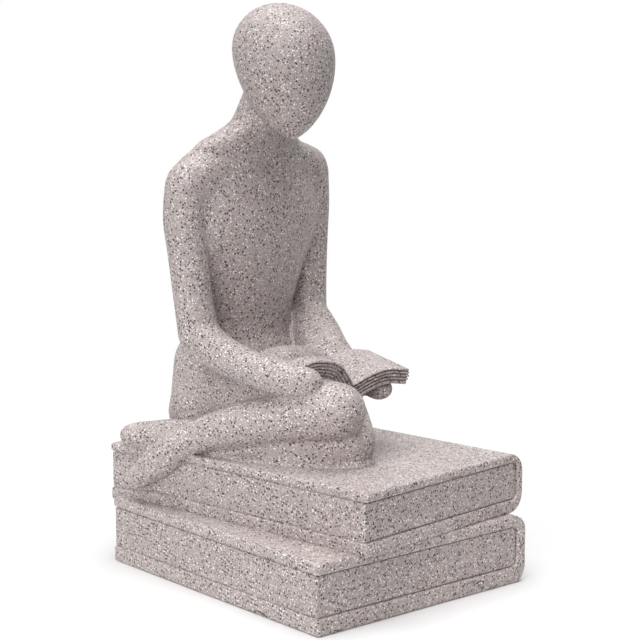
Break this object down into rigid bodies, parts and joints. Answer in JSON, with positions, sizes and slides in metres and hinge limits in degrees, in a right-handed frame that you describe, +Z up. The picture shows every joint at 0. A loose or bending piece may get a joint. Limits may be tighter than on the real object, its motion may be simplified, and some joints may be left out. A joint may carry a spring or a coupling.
{
  "type": "reading figure statue on stacked books",
  "caption": "Cast resin statue of a smooth, faceless figure that side-sits on a stack of closed books and reads a small open book; stands on its flat underside",
  "frame": {"origin": "the middle of the lower book's flat underside, where the statue stands", "axes": "+Z up, +X across the lower book towards its spine and the figure's left, -Y the way the figure faces"},
  "size_m": [0.1246, 0.1659, 0.2494],
  "materials": {
    "cast_resin": "matt cast resin filled with fine stone grains, warm grey with white, black and rust specks"
  },
  "bodies": {
    "root": {"reading_figure_on_books": "cast_resin"}
  },
  "joints": []
}
